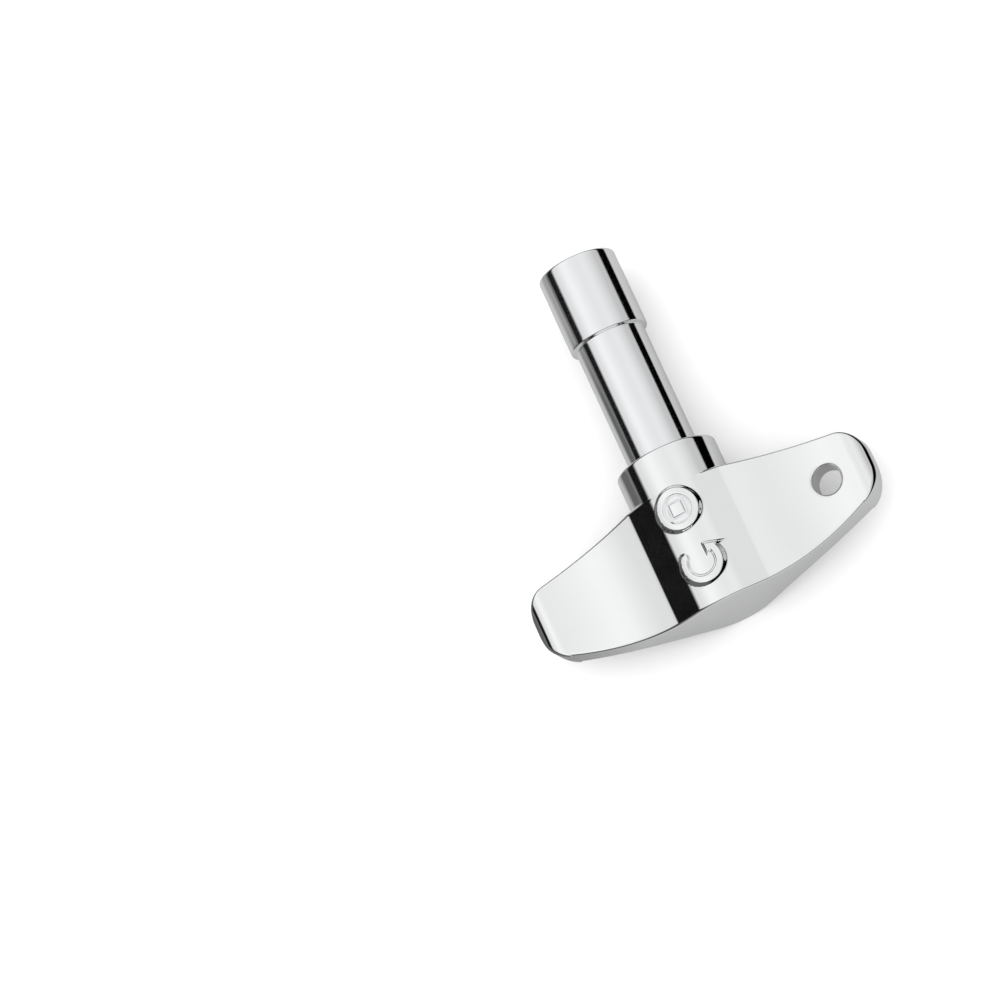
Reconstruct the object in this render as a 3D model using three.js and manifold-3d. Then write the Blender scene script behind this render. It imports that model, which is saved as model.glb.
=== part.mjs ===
// A winged key for square-headed screws: a cast handle with a turned socket stem fixed in its hub.
//
// Millimetres. The key lies on its back. Y runs along the stem, with the mouth of the socket at -Y
// and the crown of the handle at +Y. X runs across the wings and +Z points out of the front face.
// The origin is on the surface that the key lies on, under its middle. The pieces are drawn round
// the stem's axis, and the group at the end lifts them onto that surface.

import * as THREE from 'three';
import { mergeVertices } from 'three/addons/utils/BufferGeometryUtils.js';
import Module from 'manifold-3d';

const wasm = await Module();
wasm.setup();

// ---------------------------------------------------------------------------------------------
// Driving dimensions

// Socket stem
const squareAcrossFlats = 6.5;     // takes a 6.35 mm (1/4 inch) square screw head
const socketDepth = 9.5;
const socketCornerWall = 0.6;      // wall left behind each rounded corner of the square
const leadIn = 0.35;               // 45 degree lead-in inside the flats at the mouth
const pilotStep = 0.15;            // the drilled pilot is this much inside the flats
const pilotOverrun = 2.5;          // the pilot goes this much deeper than the square
const drillPointAngle = 118 * Math.PI / 180;
const stemRadius = 4.45;
const stemLength = 16.7;           // bare stem between the socket head and the handle
const headLength = 10.4;
const headStep = 0.55;             // the socket head stands this much proud of the stem
const shoulderLength = 0.2;        // the chamfer on that step is this long
const mouthRounding = 0.3;

// Knurled tang and the bore that holds it
const pressClearance = 0.05;
const seatGap = 0.05;              // between the faces that seat on each other
const seatDepth = 1.5;             // the full stem enters the collar this far
const tangStep = 0.55;
const knurlTeeth = 20;
const knurlDepth = 0.25;
const boreEndGap = 0.3;

// Handle
const collarWall = 1.95;
const collarLength = 4.8;          // plain round collar below the wings
const handleHeight = 20.6;         // from the collar's end to the top of the crown
const crownThickness = 5.8;        // solid metal between the bore and the top of the crown
const wingSpan = 46.3;
const waistThickness = 3.9;        // the wings are thinnest here, and thicken towards their tips
const waistFromHub = 9.15;         // from the hub's side to the wing's waist
const dishRadius = 27;             // hollow of the wing's faces about the waist
const flankSlope = 30 * Math.PI / 180;   // of the straight flank that runs down from the hub
const flankFootRise = 2.0;         // the flank ends this much above the waist's face
const footRounding = 2.5;          // fillet at the foot of the flank
const dishSlope = 4 * Math.PI / 180;     // where the wing's sweep hands over to the dish
const tipLowerRise = 7.95;         // lower corner of a wing tip, above the collar's end
const tipUpperRise = 15.65;        // upper corner of a wing tip, above the collar's end
const tipLowerRounding = 4.0;
const tipUpperRounding = 4.9;
const tipSideRounding = 2.35;      // seen along the stem, and never more than the tip's thickness allows
const holeRadius = 1.8;
const holeInset = 6.05;            // from the wing's tip to the hole's centre
const holeOffset = 0.4;            // the hole is this much above the middle of the tip

// Raised mark on the hub
const markHeight = 0.5;
const markLineWidth = 1.1;
const markWidth = 5.6;
const markGap = 1.6;               // between the two signs
const markSquare = 1.9;            // side of the square in the socket sign
const markRise = 0.5;              // lower edge of the mark, above the collar

// Facets
const roundFacets = 64;
const curveFacets = 10;            // on each arc of the plan and on each rounded corner
const crownFacets = 32;

// ---------------------------------------------------------------------------------------------
// Derived dimensions

const headRadius = stemRadius + headStep;
const hubRadius = stemRadius + pressClearance + collarWall;
const overallLength = headLength + stemLength + handleHeight;
const mouthY = -overallLength / 2;
const headEndY = mouthY + headLength;
const collarY = headEndY + stemLength;
const wingRootY = collarY + collarLength;
const crownY = collarY + handleHeight;
const halfSpan = wingSpan / 2;
const seatY = collarY + seatDepth;
const boreEndY = crownY - crownThickness;
const tangRadius = stemRadius - tangStep;
const overshoot = 1;               // how far a cutting solid runs past what it cuts

// ---------------------------------------------------------------------------------------------
// Solids from three.js geometry

function solidFrom(geometry) {
  const bare = geometry.clone();
  bare.deleteAttribute('normal');
  bare.deleteAttribute('uv');
  const merged = mergeVertices(bare, 1e-5);
  return new wasm.Manifold(new wasm.Mesh({
    numProp: 3,
    vertProperties: new Float32Array(merged.attributes.position.array),
    triVerts: new Uint32Array(merged.index.array),
  }));
}

function meshFrom(solid, name, material) {
  const result = solid.getMesh();
  const geometry = new THREE.BufferGeometry();
  geometry.setAttribute('position', new THREE.BufferAttribute(result.vertProperties, 3));
  geometry.setIndex(new THREE.BufferAttribute(result.triVerts, 1));
  geometry.computeVertexNormals();
  const mesh = new THREE.Mesh(geometry, material);
  mesh.name = name;
  return mesh;
}

function extrude(shape, depth) {
  return new THREE.ExtrudeGeometry(shape, { depth, bevelEnabled: false, curveSegments: curveFacets });
}

// A shape drawn in X and Z, with the stem's axis at its origin, extruded from startY to endY.
function alongStem(shape, startY, endY) {
  const geometry = extrude(shape, endY - startY);
  geometry.rotateX(Math.PI / 2);
  geometry.translate(0, endY, 0);
  return solidFrom(geometry);
}

// A shape drawn in X and Y, extruded from lowZ to highZ.
function throughFace(shape, lowZ, highZ) {
  const geometry = extrude(shape, highZ - lowZ);
  geometry.translate(0, 0, lowZ);
  return solidFrom(geometry);
}

// A profile of [radius, y] points that starts and ends on the stem's axis, turned round it.
function turned(profile) {
  const points = profile.map(([radius, y]) => new THREE.Vector2(radius, y));
  return solidFrom(new THREE.LatheGeometry(points, roundFacets));
}

function polar(radius, angle) {
  return new THREE.Vector2(radius * Math.cos(angle), radius * Math.sin(angle));
}

// Points of an arc, with both its ends.
function arcPoints(centre, radius, startAngle, endAngle, facets) {
  return Array.from({ length: facets + 1 }, (_, i) => {
    const angle = startAngle + (endAngle - startAngle) * i / facets;
    return polar(radius, angle).add(centre);
  });
}

// The arc that rounds the corner between the sides from a to corner and from corner to b.
function roundedCorner(a, corner, b, radius) {
  const toA = a.clone().sub(corner).normalize();
  const toB = b.clone().sub(corner).normalize();
  const halfAngle = Math.acos(toA.dot(toB)) / 2;
  const inward = toA.clone().add(toB).normalize();
  const centre = corner.clone().addScaledVector(inward, radius / Math.sin(halfAngle));
  const tangent = radius / Math.tan(halfAngle);
  const start = corner.clone().addScaledVector(toA, tangent).sub(centre);
  const end = corner.clone().addScaledVector(toB, tangent).sub(centre);
  const turn = Math.atan2(start.cross(end), start.dot(end));
  return arcPoints(centre, radius, start.angle(), start.angle() + turn, curveFacets);
}

function mirroredInX(points) {
  return points.map((p) => new THREE.Vector2(-p.x, p.y)).reverse();
}

function mirroredInY(points) {
  return points.map((p) => new THREE.Vector2(p.x, -p.y)).reverse();
}

// ---------------------------------------------------------------------------------------------
// Socket stem

// A ring of teeth about the stem's axis. The same outline, with a clearance, cuts the bore.
function knurlShape(clearance) {
  const tip = tangRadius + clearance;
  const root = tip - knurlDepth;
  const points = Array.from({ length: 2 * knurlTeeth }, (_, i) =>
    polar(i % 2 ? root : tip, Math.PI * i / knurlTeeth));
  return new THREE.Shape(points);
}

function squareSocketCut() {
  const half = squareAcrossFlats / 2;
  const square = new THREE.Shape([
    new THREE.Vector2(-half, -half),
    new THREE.Vector2(half, -half),
    new THREE.Vector2(half, half),
    new THREE.Vector2(-half, half),
  ]);
  const start = mouthY - overshoot;
  const end = mouthY + socketDepth;
  const cornerReach = headRadius - socketCornerWall;
  const prism = alongStem(square, start, end);
  const corners = turned([[0, start], [cornerReach, start], [cornerReach, end], [0, end]]);
  return prism.intersect(corners);
}

function leadInCut() {
  const flat = squareAcrossFlats / 2;
  return turned([
    [0, mouthY - overshoot],
    [flat + leadIn + overshoot, mouthY - overshoot],
    [flat, mouthY + leadIn],
    [0, mouthY + leadIn],
  ]);
}

function pilotCut() {
  const radius = squareAcrossFlats / 2 - pilotStep;
  const end = mouthY + socketDepth + pilotOverrun;
  const point = radius / Math.tan(drillPointAngle / 2);
  return turned([[0, mouthY], [radius, mouthY], [radius, end], [0, end + point]]);
}

function socketStem() {
  const roundedMouth = arcPoints(
    new THREE.Vector2(headRadius - mouthRounding, mouthY + mouthRounding),
    mouthRounding, -Math.PI / 2, 0, 4);
  const body = turned([
    [0, mouthY],
    ...roundedMouth.map((p) => [p.x, p.y]),
    [headRadius, headEndY - shoulderLength],
    [stemRadius, headEndY],
    [stemRadius, seatY - seatGap],
    [0, seatY - seatGap],
  ]);
  const tang = alongStem(knurlShape(0), seatY - seatGap - overshoot, boreEndY - boreEndGap);
  return body.add(tang)
    .subtract(squareSocketCut())
    .subtract(leadInCut())
    .subtract(pilotCut());
}

// ---------------------------------------------------------------------------------------------
// Handle

// Seen along the stem, each wing is a chain of pieces that run into each other without a corner: the
// round hub, a straight flank, the fillet at its foot, a wide sweep, a flat dish about the wing's
// waist, and the rounded tip. The sweep gets the radius that touches both the fillet and the dish.
const outOfFlank = polar(1, Math.PI / 2 - flankSlope);
const outOfDish = polar(1, Math.PI / 2 - dishSlope);
const waist = new THREE.Vector2(hubRadius + waistFromHub, waistThickness / 2);
const dishCentre = new THREE.Vector2(waist.x, waist.y + dishRadius);
const dishStart = dishCentre.clone().addScaledVector(outOfDish, -dishRadius);
const flankTop = outOfFlank.clone().multiplyScalar(hubRadius);
const flankFall = flankTop.y - waist.y - flankFootRise;
const flankFoot = new THREE.Vector2(flankTop.x + flankFall / Math.tan(flankSlope), flankTop.y - flankFall);
const footCentre = flankFoot.clone().addScaledVector(outOfFlank, footRounding);
const toDish = dishStart.clone().sub(footCentre);
const sweepRadius = (footRounding ** 2 - toDish.lengthSq())
  / (2 * (toDish.dot(outOfDish) + footRounding));
const sweepCentre = dishStart.clone().addScaledVector(outOfDish, sweepRadius);
const sweepSlope = Math.PI / 2 - sweepCentre.clone().sub(footCentre).angle();
const tipFromWaist = halfSpan - waist.x;
const fullRound = (tipFromWaist ** 2 + dishCentre.y ** 2 - dishRadius ** 2)
  / (2 * (dishRadius + tipFromWaist));
const tipRounding = Math.min(tipSideRounding, fullRound);
const tipCentreX = halfSpan - tipRounding;
const tipReach = dishRadius + tipRounding;
const tipCentre = new THREE.Vector2(
  tipCentreX, dishCentre.y - Math.sqrt(tipReach ** 2 - (tipCentreX - waist.x) ** 2));

function planShape() {
  const origin = new THREE.Vector2(0, 0);
  const hollow = (centre, radius, from, to) => arcPoints(
    centre, radius, -Math.PI / 2 - from, -Math.PI / 2 - to, curveFacets).slice(1);
  const tipAngle = dishCentre.clone().sub(tipCentre).angle();
  const tipSlope = Math.PI / 2 - tipAngle;
  const upperRight = [
    ...arcPoints(tipCentre, tipRounding, 0, tipAngle, curveFacets),
    ...hollow(dishCentre, dishRadius, tipSlope, dishSlope),
    ...hollow(sweepCentre, sweepRadius, dishSlope, sweepSlope),
    ...hollow(footCentre, footRounding, sweepSlope, flankSlope),
    ...arcPoints(origin, hubRadius, Math.PI / 2 - flankSlope, Math.PI / 2, curveFacets),
  ];
  const upper = [...upperRight, ...mirroredInX(upperRight).slice(1)];
  return new THREE.Shape([...upper, ...mirroredInY(upper)]);
}

// The handle seen from the front: straight lower edges, rounded tips and an arched crown.
function faceShape() {
  const sagitta = handleHeight - tipUpperRise;
  const crownRadius = (halfSpan ** 2 + sagitta ** 2) / (2 * sagitta);
  const crownCentre = new THREE.Vector2(0, crownY - crownRadius);
  const root = new THREE.Vector2(hubRadius, wingRootY);
  const lowerCorner = new THREE.Vector2(halfSpan, collarY + tipLowerRise);
  const upperCorner = new THREE.Vector2(halfSpan, collarY + tipUpperRise);
  const crownEndAngle = Math.asin(halfSpan / crownRadius);
  const alongCrown = upperCorner.clone().add(polar(tipUpperRounding * 2, Math.PI - crownEndAngle));
  const upperRounding = roundedCorner(lowerCorner, upperCorner, alongCrown, tipUpperRounding);
  const crownStart = upperRounding.at(-1).clone().sub(crownCentre).angle();
  const right = [
    root,
    ...roundedCorner(root, lowerCorner, upperCorner, tipLowerRounding),
    ...upperRounding,
    ...arcPoints(crownCentre, crownRadius, crownStart, Math.PI / 2, crownFacets / 2).slice(1),
  ];
  return new THREE.Shape([...right, ...mirroredInX(right).slice(1)]);
}

function boreCut() {
  const seatRadius = stemRadius + pressClearance;
  const seat = turned([
    [0, collarY - overshoot],
    [seatRadius, collarY - overshoot],
    [seatRadius, seatY],
    [0, seatY],
  ]);
  return seat.add(alongStem(knurlShape(pressClearance), seatY - overshoot / 2, boreEndY));
}

function hangingHoleCut() {
  const x = -(halfSpan - holeInset);
  const y = collarY + (tipLowerRise + tipUpperRise) / 2 + holeOffset;
  const circle = new THREE.Shape(
    arcPoints(new THREE.Vector2(x, y), holeRadius, 0, 2 * Math.PI, roundFacets / 2).slice(1));
  return throughFace(circle, -hubRadius, hubRadius);
}

// A ring round a square: the end of the socket.
function socketSign(centreY) {
  const outer = markWidth / 2;
  const centre = new THREE.Vector2(0, centreY);
  const ring = new THREE.Shape(arcPoints(centre, outer, 0, 2 * Math.PI, roundFacets / 2).slice(1));
  const inside = arcPoints(centre, outer - markLineWidth, 0, 2 * Math.PI, roundFacets / 2).slice(1);
  ring.holes.push(new THREE.Path(inside));
  const half = markSquare / 2;
  const square = new THREE.Shape([
    new THREE.Vector2(-half, centreY - half),
    new THREE.Vector2(half, centreY - half),
    new THREE.Vector2(half, centreY + half),
    new THREE.Vector2(-half, centreY + half),
  ]);
  return [ring, square];
}

// An open ring that ends in an arrow head: turn the key.
function turnSign(centreY) {
  const outer = markWidth / 2;
  const inner = outer - markLineWidth;
  const middle = (outer + inner) / 2;
  const startAngle = -0.6;
  const endAngle = 3.6;
  const headLengthAngle = 0.65;
  const headStart = endAngle - 0.08;     // the arrow head takes in the end of the arc
  const centre = new THREE.Vector2(0, centreY);
  const arc = new THREE.Shape([
    ...arcPoints(centre, outer, startAngle, endAngle, roundFacets / 2),
    ...arcPoints(centre, inner, endAngle, startAngle, roundFacets / 2),
  ]);
  const head = new THREE.Shape([
    polar(middle - markLineWidth, headStart).add(centre),
    polar(middle + markLineWidth, headStart).add(centre),
    polar(middle, endAngle + headLengthAngle).add(centre),
  ].reverse());
  return [arc, head];
}

// The raised mark follows the hub's round crest.
function raisedMark() {
  const firstY = wingRootY + markRise + markWidth / 2;
  const secondY = firstY + markWidth + markGap;
  const sleeve = turned([
    [0, wingRootY],
    [hubRadius + markHeight, wingRootY],
    [hubRadius + markHeight, crownY],
    [0, crownY],
  ]);
  return [...socketSign(firstY), ...turnSign(secondY)]
    .map((shape) => throughFace(shape, hubRadius / 2, hubRadius + overshoot))
    .reduce((all, sign) => all.add(sign))
    .intersect(sleeve);
}

function wingHandle() {
  const collarCircle = new THREE.Shape(
    arcPoints(new THREE.Vector2(0, 0), hubRadius, 0, 2 * Math.PI, roundFacets).slice(1));
  const collar = alongStem(collarCircle, collarY, wingRootY + overshoot);
  const plan = alongStem(planShape(), collarY, crownY + overshoot);
  const face = throughFace(faceShape(), -2 * hubRadius, 2 * hubRadius);
  return plan.intersect(face)
    .add(collar)
    .add(raisedMark())
    .subtract(boreCut())
    .subtract(hangingHoleCut());
}

// ---------------------------------------------------------------------------------------------

const polishedCasting = new THREE.MeshStandardMaterial({
  name: 'chromed_casting', color: 0xd9dbdd, roughness: 0.08, metalness: 1,
});
const polishedSteel = new THREE.MeshStandardMaterial({
  name: 'chromed_steel', color: 0xd4d6d9, roughness: 0.1, metalness: 1,
});

const group = new THREE.Group();
group.add(meshFrom(wingHandle(), 'wing_handle', polishedCasting));
group.add(meshFrom(socketStem(), 'socket_stem', polishedSteel));
group.position.z = hubRadius;

export default group;
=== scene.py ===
import math

import bpy
import numpy as np
from mathutils import Matrix, Vector


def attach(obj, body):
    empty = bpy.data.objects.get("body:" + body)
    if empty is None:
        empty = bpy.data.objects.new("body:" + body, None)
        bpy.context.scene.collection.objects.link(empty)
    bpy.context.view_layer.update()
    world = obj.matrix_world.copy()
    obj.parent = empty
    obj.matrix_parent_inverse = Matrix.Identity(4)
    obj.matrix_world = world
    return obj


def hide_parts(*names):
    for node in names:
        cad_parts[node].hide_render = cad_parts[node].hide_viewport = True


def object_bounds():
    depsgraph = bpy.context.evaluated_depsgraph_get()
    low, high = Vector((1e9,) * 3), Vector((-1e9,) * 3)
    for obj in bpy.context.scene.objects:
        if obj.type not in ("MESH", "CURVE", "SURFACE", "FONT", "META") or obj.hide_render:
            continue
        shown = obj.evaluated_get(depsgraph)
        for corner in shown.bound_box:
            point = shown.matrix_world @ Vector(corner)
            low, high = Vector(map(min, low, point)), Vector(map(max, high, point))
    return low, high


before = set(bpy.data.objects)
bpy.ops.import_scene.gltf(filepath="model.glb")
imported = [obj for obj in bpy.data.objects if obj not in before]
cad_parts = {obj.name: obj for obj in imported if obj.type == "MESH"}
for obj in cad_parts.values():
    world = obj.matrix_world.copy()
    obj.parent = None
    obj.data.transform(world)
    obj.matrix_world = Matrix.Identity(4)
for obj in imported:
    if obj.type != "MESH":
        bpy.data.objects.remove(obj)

CAD_BOX = [list(corner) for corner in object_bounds()]
MM = 0.001

# ---------------------------------------------------------------------------------------------
# The key's own sizes, in millimetres, as in the CAD model. Points are (x, s, z): x across the
# wings, s along the stem from the mouth of the socket, z out of the front face from the axis.

STEM_RADIUS = 4.45
HEAD_RADIUS = 5.0
HEAD_LENGTH = 10.4
SHOULDER_LENGTH = 0.2
COLLAR_S = 27.1                # where the collar ends and the handle begins
WING_ROOT_S = 31.9
CROWN_S = 47.7
HUB_RADIUS = 6.45
SEAT_RADIUS = 4.5
SEAT_DEPTH = 1.5
TANG_BORE_RADIUS = 3.95
BORE_END_S = CROWN_S - 5.8

HALF_SPAN = 23.15
WAIST_HALF = 1.95
WAIST_X = HUB_RADIUS + 9.15
DISH_RADIUS = 27.0
FLANK_SLOPE = math.radians(30)
FLANK_FOOT_RISE = 2.0
FOOT_ROUNDING = 2.5
DISH_SLOPE = math.radians(4)
TIP_SIDE_ROUNDING = 2.35
TIP_LOWER_S = COLLAR_S + 7.95
TIP_UPPER_S = COLLAR_S + 15.65
TIP_LOWER_ROUNDING = 4.0
TIP_UPPER_ROUNDING = 4.9
HOLE_RADIUS = 1.8
HOLE_X = -(HALF_SPAN - 6.05)
HOLE_S = (TIP_LOWER_S + TIP_UPPER_S) / 2 + 0.4

SQUARE_HALF = 3.25
SQUARE_CORNER_REACH = HEAD_RADIUS - 0.6
LEAD_IN = 0.35
SOCKET_DEPTH = 9.5
PILOT_RADIUS = 3.1
PILOT_S = 12.0
PILOT_POINT_S = 13.8
MOUTH_ROUNDING = 0.3

# Softened edges of the casting, which the CAD model leaves sharp
EDGE_ROUNDING = 0.4
COLLAR_ROUNDING = 0.35
HOLE_ROUNDING = 0.45
ROOT_FILLET = 0.4
ROOT_FILLET_STARTS = 4.6       # from the middle, where the wings leave the collar
ROOT_FILLET_RUN = 1.4
COLLAR_OVERLAP = 0.6           # the collar's field runs this far into the wings
BORE_EDGE_ROUNDING = 0.08

MARK_HEIGHT = 0.5
MARK_LINE = 1.1
MARK_WIDTH = 5.6
MARK_GAP = 1.6
MARK_SQUARE = 1.9
MARK_RISE = 0.5
MARK_SOFTNESS = 0.55
MARK_SQUARE_CORNER = 0.2
MARK_REACH = 5.0               # the relief has faded out this far from the middle
ARROW_START, ARROW_END, ARROW_HEAD = -0.6, 3.6, 0.65   # radians round the turning arrow

# Meshing
VOXEL = 0.14
DRAWING_STEPS = 6              # steps that draw the even mesh onto the smooth surface
LONGEST_STEP = 0.25
STEM_SIDES = 192
STEM_RING_STEP = 0.25


def to_frame(points):
    """Key millimetres (x, s, z) to metres in the shared frame."""
    mouth_y = CAD_BOX[0][1]
    out = np.empty_like(points)
    out[:, 0] = points[:, 0] * MM
    out[:, 1] = points[:, 1] * MM + mouth_y
    out[:, 2] = (points[:, 2] + HUB_RADIUS) * MM
    return out


def from_frame(points):
    mouth_y = CAD_BOX[0][1]
    out = np.empty_like(points)
    out[:, 0] = points[:, 0] / MM
    out[:, 1] = (points[:, 1] - mouth_y) / MM
    out[:, 2] = points[:, 2] / MM - HUB_RADIUS
    return out


# ---------------------------------------------------------------------------------------------
# Outlines as chains of arcs and lines that run into each other, and the distance from them

def arc(centre, radius, start, end, side):
    """An arc; side is 1 where the solid is inside the circle, -1 where it is outside."""
    return ("arc", centre, radius, (start + end) / 2, abs(end - start) / 2, side)


def line(a, b):
    """A straight piece with the solid on its left."""
    return ("line", np.array(a, float), np.array(b, float))


def chain_distance(u, v, chain):
    best = np.full(u.shape, np.inf)
    signed = np.zeros(u.shape)
    for piece in chain:
        if piece[0] == "arc":
            _, centre, radius, middle, spread, side = piece
            angle = np.arctan2(v - centre[1], u - centre[0])
            off = (angle - middle + math.pi) % (2 * math.pi) - math.pi
            angle = middle + np.clip(off, -spread, spread)
            nu, nv = np.cos(angle), np.sin(angle)
            qu, qv = centre[0] + radius * nu, centre[1] + radius * nv
            nu, nv = side * nu, side * nv
        else:
            _, a, b = piece
            along = (b - a) / np.linalg.norm(b - a)
            t = np.clip((u - a[0]) * along[0] + (v - a[1]) * along[1], 0, np.linalg.norm(b - a))
            qu, qv = a[0] + along[0] * t, a[1] + along[1] * t
            nu, nv = along[1], -along[0]
        du, dv = u - qu, v - qv
        dist = np.hypot(du, dv)
        closer = dist < best
        signed = np.where(closer, np.where(du * nu + dv * nv >= 0, dist, -dist), signed)
        best = np.where(closer, dist, best)
    return signed


def plan_chain():
    """A quarter of the handle seen along the stem: hub, flank, foot, sweep, dish, rounded tip."""
    def direction(slope):
        return np.array([math.sin(slope), math.cos(slope)])

    dish = np.array([WAIST_X, WAIST_HALF + DISH_RADIUS])
    out_of_flank, out_of_dish = direction(FLANK_SLOPE), direction(DISH_SLOPE)
    dish_start = dish - DISH_RADIUS * out_of_dish
    top = HUB_RADIUS * out_of_flank
    fall = top[1] - WAIST_HALF - FLANK_FOOT_RISE
    foot = top + [fall / math.tan(FLANK_SLOPE), -fall]
    hollow = foot + FOOT_ROUNDING * out_of_flank
    to_dish = dish_start - hollow
    overlap = to_dish @ out_of_dish + FOOT_ROUNDING
    sweep_radius = (FOOT_ROUNDING ** 2 - to_dish @ to_dish) / (2 * overlap)
    sweep = dish_start + sweep_radius * out_of_dish
    sweep_slope = math.atan2(sweep[0] - hollow[0], sweep[1] - hollow[1])
    span = HALF_SPAN + 0.29 * EDGE_ROUNDING
    tip_x = span - TIP_SIDE_ROUNDING
    reach = DISH_RADIUS + TIP_SIDE_ROUNDING
    tip = np.array([tip_x, dish[1] - math.sqrt(reach ** 2 - (tip_x - WAIST_X) ** 2)])
    back = math.atan2(dish[1] - tip[1], dish[0] - tip[0])
    down = -math.pi / 2
    return [
        arc((0, 0), HUB_RADIUS, math.pi / 2 - FLANK_SLOPE, math.pi / 2, 1),
        line(foot, top),
        arc(hollow, FOOT_ROUNDING, down - FLANK_SLOPE, down - sweep_slope, -1),
        arc(sweep, sweep_radius, down - sweep_slope, down - DISH_SLOPE, -1),
        arc(dish, DISH_RADIUS, down - DISH_SLOPE, back - math.pi, -1),
        arc(tip, TIP_SIDE_ROUNDING, 0, back, 1),
        line((span, 0), (span, tip[1])),
    ]


def corner_arc(a, corner, b, radius):
    """The rounding of a corner between the lines to a and to b: centre and end points."""
    to_a = (a - corner) / np.linalg.norm(a - corner)
    to_b = (b - corner) / np.linalg.norm(b - corner)
    half = math.acos(to_a @ to_b) / 2
    run = radius / math.tan(half)
    middle = (to_a + to_b) / np.linalg.norm(to_a + to_b)
    return corner + middle * radius / math.sin(half), corner + to_a * run, corner + to_b * run


def face_chain():
    """The right half of the handle seen from the front."""
    sagitta = CROWN_S - TIP_UPPER_S
    crown_radius = (HALF_SPAN ** 2 + sagitta ** 2) / (2 * sagitta)
    crown = np.array([0, CROWN_S - crown_radius])
    root = np.array([HUB_RADIUS, WING_ROOT_S])
    lower = np.array([HALF_SPAN, TIP_LOWER_S])
    upper = np.array([HALF_SPAN, TIP_UPPER_S])
    slope = math.asin(HALF_SPAN / crown_radius)
    on_crown = upper + 10 * np.array([-math.cos(slope), math.sin(slope)])
    low_centre, low_a, low_b = corner_arc(root, lower, upper, TIP_LOWER_ROUNDING)
    top_centre, top_a, top_b = corner_arc(lower, upper, on_crown, TIP_UPPER_ROUNDING)

    def angle(point, centre):
        return math.atan2(point[1] - centre[1], point[0] - centre[0])

    return [
        line((0, WING_ROOT_S), root),
        line(root, low_a),
        arc(low_centre, TIP_LOWER_ROUNDING, angle(low_a, low_centre), 0, 1),
        line(low_b, top_a),
        arc(top_centre, TIP_UPPER_ROUNDING, 0, angle(top_b, top_centre), 1),
        arc(crown, crown_radius, angle(top_b, crown), math.pi / 2, 1),
    ]


PLAN = plan_chain()
FACE = face_chain()


def round_max(a, b, r):
    """Intersection of two fields with a rounded edge."""
    return np.minimum(-r, np.maximum(a, b)) + np.hypot(np.maximum(r + a, 0), np.maximum(r + b, 0))


def round_min(a, b, r):
    """Union of two fields with a fillet."""
    return np.maximum(r, np.minimum(a, b)) - np.hypot(np.maximum(r - a, 0), np.maximum(r - b, 0))


def smooth(t):
    t = np.clip(t, 0, 1)
    return t * t * (3 - 2 * t)


def mark_distance(x, s):
    """Distance from the strokes of the raised mark: a ring round a square, and a turning arrow."""
    outer = MARK_WIDTH / 2
    middle = outer - MARK_LINE / 2
    first = WING_ROOT_S + MARK_RISE + outer
    second = first + MARK_WIDTH + MARK_GAP
    ring = np.abs(np.hypot(x, s - first) - middle) - MARK_LINE / 2
    qx = np.abs(x) - (MARK_SQUARE / 2 - MARK_SQUARE_CORNER)
    qs = np.abs(s - first) - (MARK_SQUARE / 2 - MARK_SQUARE_CORNER)
    square = (np.hypot(np.maximum(qx, 0), np.maximum(qs, 0)) + np.minimum(np.maximum(qx, qs), 0)
              - MARK_SQUARE_CORNER)
    start, end, point = ARROW_START, ARROW_END, ARROW_HEAD
    off = (np.arctan2(s - second, x) - (start + end) / 2 + math.pi) % (2 * math.pi) - math.pi
    angle = (start + end) / 2 + np.clip(off, -(end - start) / 2, (end - start) / 2)
    turn = np.hypot(x - middle * np.cos(angle), s - second - middle * np.sin(angle)) - MARK_LINE / 2
    corners = [
        ((middle - MARK_LINE) * math.cos(end), second + (middle - MARK_LINE) * math.sin(end)),
        ((middle + MARK_LINE) * math.cos(end), second + (middle + MARK_LINE) * math.sin(end)),
        (middle * math.cos(end + point), second + middle * math.sin(end + point)),
    ]
    area = sum(a[0] * b[1] - b[0] * a[1] for a, b in zip(corners, corners[1:] + corners[:1]))
    if area < 0:
        corners.reverse()
    sides = []
    for a, b in zip(corners, corners[1:] + corners[:1]):
        ux, us = b[0] - a[0], b[1] - a[1]
        length = math.hypot(ux, us)
        sides.append(((x - a[0]) * us - (s - a[1]) * ux) / length)
    head = np.maximum(np.maximum(sides[0], sides[1]), sides[2])
    return np.minimum(np.minimum(ring, square), np.minimum(turn, head))


def handle_field(p):
    """Negative inside the handle, zero on its surface, close to the distance near it."""
    x, s, z = p[:, 0], p[:, 1], p[:, 2]
    across, rho = np.abs(x), np.hypot(x, z)
    body = round_max(chain_distance(across, np.abs(z), PLAN), chain_distance(across, s, FACE),
                     EDGE_ROUNDING)
    collar = round_max(rho - HUB_RADIUS, COLLAR_S - s, COLLAR_ROUNDING)
    collar = np.maximum(collar, s - WING_ROOT_S - COLLAR_OVERLAP)
    fillet = 0.01 + ROOT_FILLET * smooth((across - ROOT_FILLET_STARTS) / ROOT_FILLET_RUN)
    solid = round_min(body, collar, fillet)
    raised = smooth(0.5 - mark_distance(x, s) / MARK_SOFTNESS)
    solid = solid - MARK_HEIGHT * raised * (z > 0) * smooth(MARK_REACH - across)
    hole = HOLE_RADIUS - np.hypot(x - HOLE_X, s - HOLE_S)
    solid = round_max(solid, hole, HOLE_ROUNDING)
    seat = np.minimum(SEAT_RADIUS - rho, COLLAR_S + SEAT_DEPTH - s)
    bore = np.minimum(TANG_BORE_RADIUS - rho, BORE_END_S - s)
    return round_max(solid, np.maximum(seat, bore), BORE_EDGE_ROUNDING)


def gradient(field, p, step=0.01):
    out = np.empty_like(p)
    for axis in range(3):
        shift = np.zeros(3)
        shift[axis] = step
        out[:, axis] = (field(p + shift) - field(p - shift)) / (2 * step)
    return out


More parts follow.
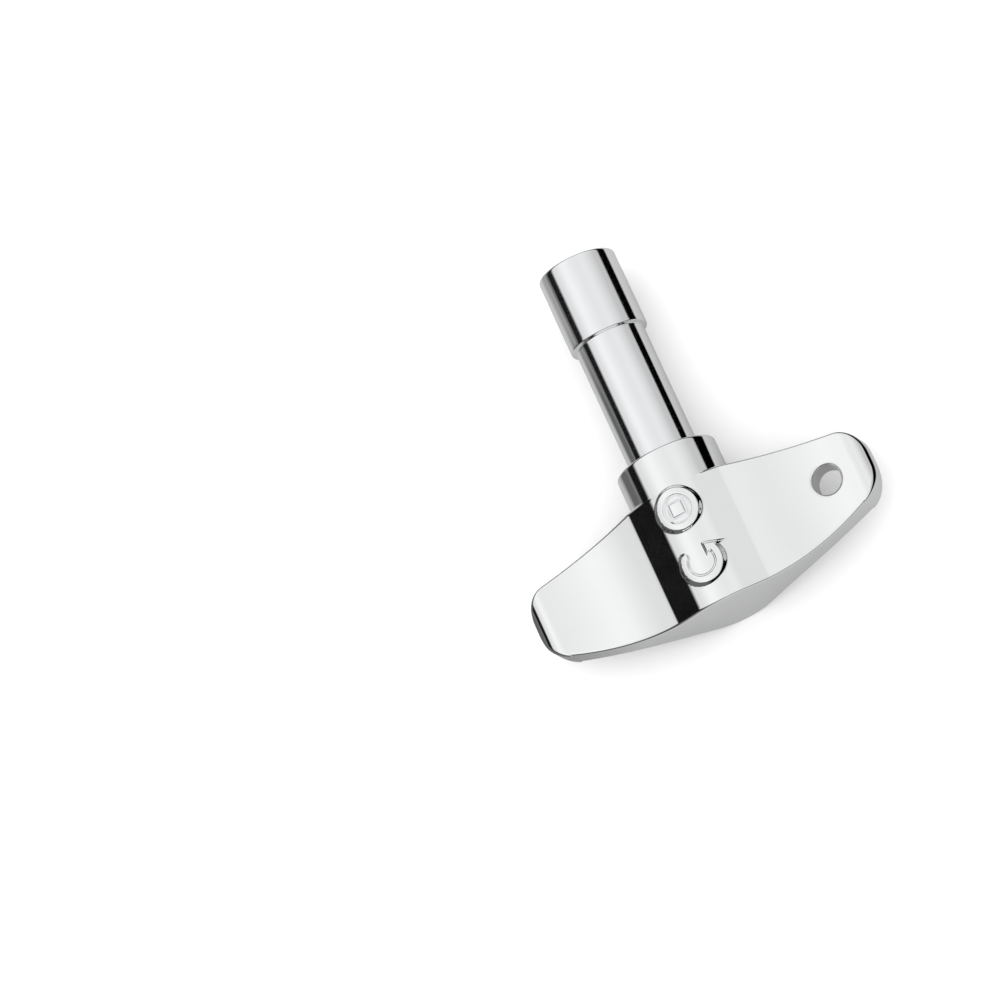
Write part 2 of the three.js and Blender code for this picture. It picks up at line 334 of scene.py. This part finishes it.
def remeshed(node, voxel):
    """Even quads over a CAD node: points in key millimetres, and faces."""
    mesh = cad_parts[node].data.copy()
    mesh.transform(Matrix.Scale(1 / MM, 4))
    copy = bpy.data.objects.new("remesh_source", mesh)
    bpy.context.scene.collection.objects.link(copy)
    modifier = copy.modifiers.new("voxels", "REMESH")
    modifier.mode = "VOXEL"
    modifier.voxel_size = voxel
    bpy.context.view_layer.update()
    evaluated = copy.evaluated_get(bpy.context.evaluated_depsgraph_get())
    even = evaluated.to_mesh()
    points = np.empty(len(even.vertices) * 3)
    even.vertices.foreach_get("co", points)
    faces = [tuple(f.vertices) for f in even.polygons]
    evaluated.to_mesh_clear()
    bpy.data.objects.remove(copy)
    return from_frame(points.reshape(-1, 3) * MM), faces


def piece(name, points, faces, normals=None):
    mesh = bpy.data.meshes.new(name)
    mesh.from_pydata(to_frame(points).tolist(), [], faces)
    mesh.polygons.foreach_set("use_smooth", [True] * len(mesh.polygons))
    if normals is not None:
        mesh.normals_split_custom_set_from_vertices(normals.tolist())
    mesh.update()
    made = bpy.data.objects.new(name, mesh)
    bpy.context.scene.collection.objects.link(made)
    return made


def make_handle():
    points, faces = remeshed("wing_handle", VOXEL)
    for _ in range(DRAWING_STEPS):
        slope = gradient(handle_field, points)
        size = np.maximum((slope ** 2).sum(1), 0.2)
        step = (handle_field(points) / size)[:, None] * slope
        length = np.linalg.norm(step, axis=1, keepdims=True)
        points -= step * np.minimum(1, LONGEST_STEP / np.maximum(length, 1e-9))
    slope = gradient(handle_field, points, 0.02)
    normals = slope / np.maximum(np.linalg.norm(slope, axis=1, keepdims=True), 1e-9)
    return piece("chromed_handle", points, faces, normals)


# ---------------------------------------------------------------------------------------------
# Socket stem: rings of one angular count, from the seat in the collar to the drill point

def rounded_square_radius(angle, half, reach):
    """Radius of a square with rounded corners; reach is the radius at the corners."""
    corner = (math.sqrt(2) * half - reach) / (math.sqrt(2) - 1)
    a = np.abs((angle + math.pi / 4) % (math.pi / 2) - math.pi / 4)
    flat = half / np.cos(a)
    c = (half - corner) * math.sqrt(2)
    off = math.pi / 4 - a
    inside = corner ** 2 - (c * np.sin(off)) ** 2
    rounded = c * np.cos(off) + np.sqrt(np.maximum(inside, 0))
    edge = math.atan2(half - corner, half)
    return np.where(a < edge, flat, rounded)


def fillet_profile(points, roundings, step):
    """A profile of (radius, s) corners with rounded corners and close, even points."""
    points = [np.array(p, float) for p in points]
    dense = [points[0]]
    for i in range(1, len(points) - 1):
        r = roundings[i]
        if r <= 0:
            dense.append(points[i])
            continue
        centre, a, b = corner_arc(points[i - 1], points[i], points[i + 1], r)
        start = math.atan2(a[1] - centre[1], a[0] - centre[0])
        turn = math.atan2(b[1] - centre[1], b[0] - centre[0]) - start
        turn = (turn + math.pi) % (2 * math.pi) - math.pi
        dense += [centre + r * np.array([math.cos(start + turn * t), math.sin(start + turn * t)])
                  for t in np.linspace(0, 1, 7)]
    dense.append(points[-1])
    out = [dense[0]]
    for a, b in zip(dense, dense[1:]):
        n = max(1, round(float(np.linalg.norm(b - a)) / step))
        out += [a + (b - a) * k / n for k in range(1, n + 1)]
    return out


def make_stem():
    angles = np.arange(STEM_SIDES) * 2 * math.pi / STEM_SIDES
    round_ring = np.ones(STEM_SIDES)
    outer = fillet_profile(
        [
            (STEM_RADIUS, COLLAR_S + SEAT_DEPTH - 0.05),
            (STEM_RADIUS, HEAD_LENGTH),
            (HEAD_RADIUS, HEAD_LENGTH - SHOULDER_LENGTH),
            (HEAD_RADIUS, 0),
            (HEAD_RADIUS - 1.0, 0),
        ],
        [0, 0.12, 0.22, MOUTH_ROUNDING, 0], STEM_RING_STEP)
    outer = [(radius, s) for radius, s in outer if s > 0 or radius > HEAD_RADIUS - 0.35]
    rings = [(round_ring * radius, s) for radius, s in outer]
    lead = rounded_square_radius(angles, SQUARE_HALF + LEAD_IN, SQUARE_CORNER_REACH + 0.1)
    wall = rounded_square_radius(angles, SQUARE_HALF, SQUARE_CORNER_REACH)
    rings += [(lead + 0.05, 0.0), (lead, 0.02)]
    rings += [(wall * t + lead * (1 - t), LEAD_IN * t) for t in (0.25, 0.5, 0.75, 0.92)]
    rings += [(wall, LEAD_IN + 0.03), (wall, LEAD_IN + 0.12)]
    rings += [(wall, s) for s in np.linspace(1.0, SOCKET_DEPTH - 0.1, 20)]
    rings += [(wall * 0.995, SOCKET_DEPTH)]
    rings += [(round_ring * (PILOT_RADIUS + 0.05), SOCKET_DEPTH)]
    first_inner = len(outer) + 2
    rings += [(round_ring * PILOT_RADIUS, s) for s in np.linspace(SOCKET_DEPTH + 0.05, PILOT_S, 6)]
    rings += [(round_ring * PILOT_RADIUS * (1 - t), PILOT_S + (PILOT_POINT_S - PILOT_S) * t)
              for t in (0.1, 0.3, 0.5, 0.7, 0.9)]
    points = [np.stack([r * np.cos(angles), np.full(STEM_SIDES, s), r * np.sin(angles)], 1)
              for r, s in rings]
    points.append(np.array([[0.0, PILOT_POINT_S, 0.0]]))
    points.append(np.array([[0.0, COLLAR_S + SEAT_DEPTH - 0.05, 0.0]]))
    n = STEM_SIDES
    faces = []
    for i in range(len(rings) - 1):
        for k in range(n):
            j = (k + 1) % n
            faces.append((i * n + k, i * n + j, (i + 1) * n + j, (i + 1) * n + k))
    tip, cap = len(rings) * n, len(rings) * n + 1
    last = (len(rings) - 1) * n
    for k in range(n):
        j = (k + 1) % n
        faces.append((last + k, last + j, tip))
        faces.append((j, k, cap))
    made = piece("turned_stem", np.concatenate(points), faces)
    inside = first_inner * n
    made.data.materials.append(stem_chrome())
    made.data.materials.append(socket_steel())
    for i, face in enumerate(made.data.polygons):
        if inside <= i < (len(rings) - 1) * n or face.vertices[2] == tip:
            face.material_index = 1
    return made


# ---------------------------------------------------------------------------------------------
# Materials

class Nodes:
    """A short way to build a node tree."""

    def __init__(self, name):
        self.material = bpy.data.materials.new(name)
        self.material.use_nodes = True
        self.tree = self.material.node_tree
        self.tree.nodes.clear()
        self.shader = self.add("ShaderNodeBsdfPrincipled")
        out = self.add("ShaderNodeOutputMaterial")
        self.link(self.shader, "BSDF", out, "Surface")
        self.coords = self.add("ShaderNodeTexCoord")

    def add(self, kind, **values):
        node = self.tree.nodes.new(kind)
        for key, value in values.items():
            if hasattr(node, key) and key not in ("Scale", "Detail"):
                setattr(node, key, value)
            else:
                node.inputs[key.replace("_", " ")].default_value = value
        return node

    def link(self, a, out, b, into):
        self.tree.links.new(a.outputs[out], b.inputs[into])

    def stretched(self, scale):
        mapping = self.add("ShaderNodeMapping")
        mapping.inputs["Scale"].default_value = scale
        self.link(self.coords, "Object", mapping, "Vector")
        return mapping

    def noise(self, mapping, scale, detail=2.0):
        node = self.add("ShaderNodeTexNoise", Scale=scale, Detail=detail)
        self.link(mapping, "Vector", node, "Vector")
        return node

    def ranged(self, source, out, low, high, into_low=0.3, into_high=0.7):
        node = self.add("ShaderNodeMapRange")
        node.inputs["From Min"].default_value = into_low
        node.inputs["From Max"].default_value = into_high
        node.inputs["To Min"].default_value = low
        node.inputs["To Max"].default_value = high
        self.link(source, out, node, "Value")
        return node

    def bump(self, source, out, height, before=None):
        node = self.add("ShaderNodeBump", Strength=1.0)
        node.inputs["Distance"].default_value = height
        self.link(source, out, node, "Height")
        if before:
            self.link(before, "Normal", node, "Normal")
        return node


def chrome_base(name, colour):
    n = Nodes(name)
    n.shader.inputs["Metallic"].default_value = 1.0
    tint = n.noise(n.stretched((1, 1, 1)), 180.0)
    mix = n.add("ShaderNodeMix", data_type="RGBA")
    mix.inputs[6].default_value = (*[c * 0.97 for c in colour], 1)
    mix.inputs[7].default_value = (*colour, 1)
    n.link(tint, "Fac", mix, 0)
    n.tree.links.new(mix.outputs[2], n.shader.inputs["Base Color"])
    return n


def cast_chrome():
    n = chrome_base("chrome_over_casting", (0.90, 0.905, 0.91))
    haze = n.noise(n.stretched((1, 1, 1)), 400.0, 4.0)
    n.link(n.ranged(haze, "Fac", 0.035, 0.07), "Result", n.shader, "Roughness")
    swell = n.noise(n.stretched((1, 1, 1)), 220.0, 1.0)
    grain = n.noise(n.stretched((1, 1, 1)), 2600.0, 2.0)
    waves = n.bump(swell, "Fac", 0.000006)
    fine = n.bump(grain, "Fac", 0.0000003, waves)
    n.link(fine, "Normal", n.shader, "Normal")
    return n.material


def stem_chrome():
    n = chrome_base("chrome_over_turned_steel", (0.88, 0.885, 0.895))
    turned = n.noise(n.stretched((40, 9000, 40)), 1.0, 3.0)
    n.link(n.ranged(turned, "Fac", 0.05, 0.10), "Result", n.shader, "Roughness")
    rings = n.bump(turned, "Fac", 0.0000015)
    n.link(rings, "Normal", n.shader, "Normal")
    return n.material


def socket_steel():
    n = chrome_base("broached_steel", (0.42, 0.41, 0.40))
    broach = n.noise(n.stretched((5000, 150, 5000)), 1.0, 3.0)
    n.link(n.ranged(broach, "Fac", 0.25, 0.42), "Result", n.shader, "Roughness")
    marks = n.bump(broach, "Fac", 0.000012)
    n.link(marks, "Normal", n.shader, "Normal")
    return n.material


# ---------------------------------------------------------------------------------------------
# The object

handle = make_handle()
handle.data.materials.append(cast_chrome())
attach(handle, "root")
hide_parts("wing_handle")

stem = make_stem()
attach(stem, "root")
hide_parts("socket_stem")

# ---------------------------------------------------------------------------------------------
# Studio: a pale table, a white surround, and a card over the table with painted shade that only
# reflections see

TABLE_SIZE = 4.0
TABLE_WHITE = 0.93
SURROUND = 1.45
DARK = 0.008

# Painted shade on the card over the table that only reflections see, by its place in metres
PAINTED_FLOOR_SHADE = 0.47
PAINTED_FLOOR_SHADE_BY_MOUTH = 0.26
PAINTED_FLOOR_SHADE_BY_HANDLE = 0.095
MOUTH_TO_HANDLE = (-0.018, -0.006)
TONE_CHANGES_X = (0.014, 0.031)
BLACK_FROM_X = (-0.0235, -0.0185)
BLACK_BESIDE_WINGS = 0.008     # the black starts this much further out there
WINGS_FROM_Y = (-0.004, 0.008)
FLOOR_SLANT = 0.3

# What reflections see of the surround, by the height and the X of their direction
LIGHT_EDGE = (0.0, 0.525)      # lower edge of the light, at -X and at +X
EDGE_SOFTNESS = (-0.09, 0.07)
STRIP_TONE = 0.18
STRIP_TOP = (0.09, 0.17)
STRIP_FROM_X = (0.2, 0.7)
SIDE_TONES = [(0.0, 0.60), (0.045, 0.61), (0.075, 0.72), (0.12, 0.80), (0.18, 0.88), (0.24, 0.915),
              (0.38, 0.885), (0.5, 0.925), (0.6, 0.98), (0.67, 1.02), (0.74, 0.995), (0.80, 0.905),
              (0.86, 0.82), (1.0, 0.78)]


def flat_piece(name, corners, faces, material):
    mesh = bpy.data.meshes.new(name)
    mesh.from_pydata(corners, [], faces)
    mesh.materials.append(material)
    made = bpy.data.objects.new(name, mesh)
    bpy.context.scene.collection.objects.link(made)
    return made


def table_material():
    n = Nodes("pale_table")
    grain = n.noise(n.stretched((1, 1, 1)), 60.0, 3.0)
    mix = n.add("ShaderNodeMix", data_type="RGBA")
    mix.inputs[6].default_value = (TABLE_WHITE * 0.995,) * 3 + (1,)
    mix.inputs[7].default_value = (TABLE_WHITE,) * 3 + (1,)
    n.link(grain, "Fac", mix, 0)
    n.tree.links.new(mix.outputs[2], n.shader.inputs["Base Color"])
    n.shader.inputs["Roughness"].default_value = 0.9
    n.shader.inputs["Specular IOR Level"].default_value = 0.0
    return n.material


def seen_only_in_reflections(made):
    made.visible_camera = False
    made.visible_diffuse = False
    made.visible_shadow = False


half = TABLE_SIZE / 2
flat_piece("table", [(-half, -half, 0), (half, -half, 0), (half, half, 0), (-half, half, 0)],
           [(0, 1, 2, 3)], table_material())

PAINTED_CARD_SIZE = 1.9
PAINTED_CARD_HEIGHT = 0.0002


def painted_shade_floor():
    """Painted shade that reflections see on the table: grey by the key, darker on +X, black far out
    on -X, where the real table is evenly white.
    """
    n = Nodes("painted_shade_floor")
    split = n.add("ShaderNodeSeparateXYZ")
    n.link(n.coords, "Object", split, "Vector")
    # The floor that one ring of the stem reflects lies along a slanting line: the painted shade
    # follows it
    slant = n.add("ShaderNodeVectorMath", operation="DOT_PRODUCT")
    n.link(n.coords, "Object", slant, 0)
    slant.inputs[1].default_value = (FLOOR_SLANT, 1, 0)
    by_mouth = n.ranged(slant, "Value", PAINTED_FLOOR_SHADE_BY_MOUTH, PAINTED_FLOOR_SHADE_BY_HANDLE, *MOUTH_TO_HANDLE)
    side = n.ranged(split, "X", 0.0, 1.0, *TONE_CHANGES_X)
    tone = n.add("ShaderNodeMix", data_type="FLOAT")
    tone.inputs[2].default_value = PAINTED_FLOOR_SHADE
    n.link(by_mouth, "Result", tone, 3)
    n.link(side, "Result", tone, 0)
    # The painted black starts further out beside the wings
    beside_wings = n.ranged(split, "Y", 0.0, BLACK_BESIDE_WINGS, *WINGS_FROM_Y)
    reach = n.add("ShaderNodeMath", operation="ADD")
    n.link(split, "X", reach, 0)
    n.link(beside_wings, "Result", reach, 1)
    near = n.ranged(reach, "Value", 0.0, 1.0, *BLACK_FROM_X)
    near.interpolation_type = "SMOOTHSTEP"
    shade = n.add("ShaderNodeMath", operation="MULTIPLY")
    n.link(tone, 0, shade, 0)
    n.link(near, "Result", shade, 1)
    n.tree.links.new(shade.outputs[0], n.shader.inputs["Base Color"])
    n.shader.inputs["Roughness"].default_value = 1.0
    n.shader.inputs["Specular IOR Level"].default_value = 0.0
    return n.material


# A card just above the table that carries the painted shade, seen only in reflections
f = PAINTED_CARD_SIZE
painted_card = flat_piece("painted_shade_card", [(-f, -f, PAINTED_CARD_HEIGHT), (f, -f, PAINTED_CARD_HEIGHT), (f, f, PAINTED_CARD_HEIGHT),
                                 (-f, f, PAINTED_CARD_HEIGHT)], [(0, 1, 2, 3)], painted_shade_floor())
seen_only_in_reflections(painted_card)


def surround():
    """White for the camera and for soft light; reflections see darker sides and a dark strip."""
    world = bpy.data.worlds.new("studio")
    bpy.context.scene.world = world
    world.use_nodes = True
    tree = world.node_tree
    tree.nodes.clear()
    add, link = tree.nodes.new, tree.links.new
    coords, split = add("ShaderNodeTexCoord"), add("ShaderNodeSeparateXYZ")
    link(coords.outputs["Generated"], split.inputs[0])
    # Lower edge of the light: higher on the +X side
    edge = add("ShaderNodeMapRange")
    edge.inputs["From Min"].default_value = -1
    edge.inputs["From Max"].default_value = 1
    edge.inputs["To Min"].default_value = LIGHT_EDGE[0]
    edge.inputs["To Max"].default_value = LIGHT_EDGE[1]
    link(split.outputs["X"], edge.inputs["Value"])
    above = add("ShaderNodeMath")
    above.operation = "SUBTRACT"
    link(split.outputs["Z"], above.inputs[0])
    link(edge.outputs["Result"], above.inputs[1])
    lit = add("ShaderNodeMapRange")
    lit.interpolation_type = "SMOOTHSTEP"
    lit.inputs["From Min"].default_value = EDGE_SOFTNESS[0]
    lit.inputs["From Max"].default_value = EDGE_SOFTNESS[1]
    lit.inputs["To Min"].default_value = DARK
    lit.inputs["To Max"].default_value = 1.0
    link(above.outputs[0], lit.inputs["Value"])
    ramp = add("ShaderNodeValToRGB")
    side = add("ShaderNodeMapRange")
    side.inputs["From Min"].default_value = -1
    side.inputs["From Max"].default_value = 1
    link(split.outputs["X"], side.inputs["Value"])
    link(side.outputs["Result"], ramp.inputs["Fac"])
    ramp.color_ramp.elements[0].position = SIDE_TONES[0][0]
    ramp.color_ramp.elements[0].color = (SIDE_TONES[0][1],) * 3 + (1,)
    ramp.color_ramp.elements[1].position = SIDE_TONES[-1][0]
    ramp.color_ramp.elements[1].color = (SIDE_TONES[-1][1],) * 3 + (1,)
    for position, value in SIDE_TONES[1:-1]:
        ramp.color_ramp.elements.new(position).color = (value, value, value, 1)
    seen = add("ShaderNodeMath")
    seen.operation = "MULTIPLY"
    link(ramp.outputs["Color"], seen.inputs[0])
    link(lit.outputs["Result"], seen.inputs[1])
    # A grey strip under the dark one, on the +X side only
    strip, side_x = add("ShaderNodeMapRange"), add("ShaderNodeMapRange")
    ranges = ((strip, STRIP_TOP, (STRIP_TONE, 0.0)), (side_x, STRIP_FROM_X, (0.0, 1.0)))
    for node, into, to in ranges:
        node.interpolation_type = "SMOOTHSTEP"
        node.inputs["From Min"].default_value, node.inputs["From Max"].default_value = into
        node.inputs["To Min"].default_value, node.inputs["To Max"].default_value = to
    link(split.outputs["Z"], strip.inputs["Value"])
    link(split.outputs["X"], side_x.inputs["Value"])
    total = add("ShaderNodeMath")
    total.operation = "MULTIPLY_ADD"
    link(strip.outputs["Result"], total.inputs[0])
    link(side_x.outputs["Result"], total.inputs[1])
    link(seen.outputs[0], total.inputs[2])
    path = add("ShaderNodeLightPath")
    reflected, plain = add("ShaderNodeBackground"), add("ShaderNodeBackground")
    link(total.outputs[0], reflected.inputs["Color"])
    plain.inputs["Color"].default_value = (1, 1, 1, 1)
    plain.inputs["Strength"].default_value = SURROUND
    mix, out = add("ShaderNodeMixShader"), add("ShaderNodeOutputWorld")
    link(path.outputs["Is Glossy Ray"], mix.inputs[0])
    link(plain.outputs[0], mix.inputs[1])
    link(reflected.outputs[0], mix.inputs[2])
    link(mix.outputs[0], out.inputs["Surface"])


surround()

# ---------------------------------------------------------------------------------------------
# Camera: far off and close to overhead, turned so that the mouth points up and left

CAMERA_LENS = 245.71
CAMERA_AIM = Vector((0.020702, -0.002211, 0.006406))
CAMERA_DISTANCE = 0.831715
CAMERA_AZIMUTH = 214.099
CAMERA_ELEVATION = 69.157
CAMERA_ROLL = -60.404


def make_camera():
    azimuth, elevation = math.radians(CAMERA_AZIMUTH), math.radians(CAMERA_ELEVATION)
    roll = math.radians(CAMERA_ROLL)
    back = Vector((math.sin(azimuth) * math.cos(elevation),
                   -math.cos(azimuth) * math.cos(elevation), math.sin(elevation)))
    level = Vector((0, 0, 1)).cross(back).normalized()
    steep = back.cross(level)
    right = level * math.cos(roll) + steep * math.sin(roll)
    up = back.cross(right)
    data = bpy.data.cameras.new("camera")
    data.lens = CAMERA_LENS
    data.sensor_width = 36.0
    data.clip_start, data.clip_end = 0.01, 10.0
    data.dof.use_dof = False
    camera = bpy.data.objects.new("camera", data)
    bpy.context.scene.collection.objects.link(camera)
    turn = Matrix((right, up, back)).transposed().to_4x4()
    camera.matrix_world = Matrix.Translation(CAMERA_AIM + back * CAMERA_DISTANCE) @ turn
    bpy.context.scene.camera = camera


make_camera()
bpy.context.scene.view_settings.view_transform = "Standard"
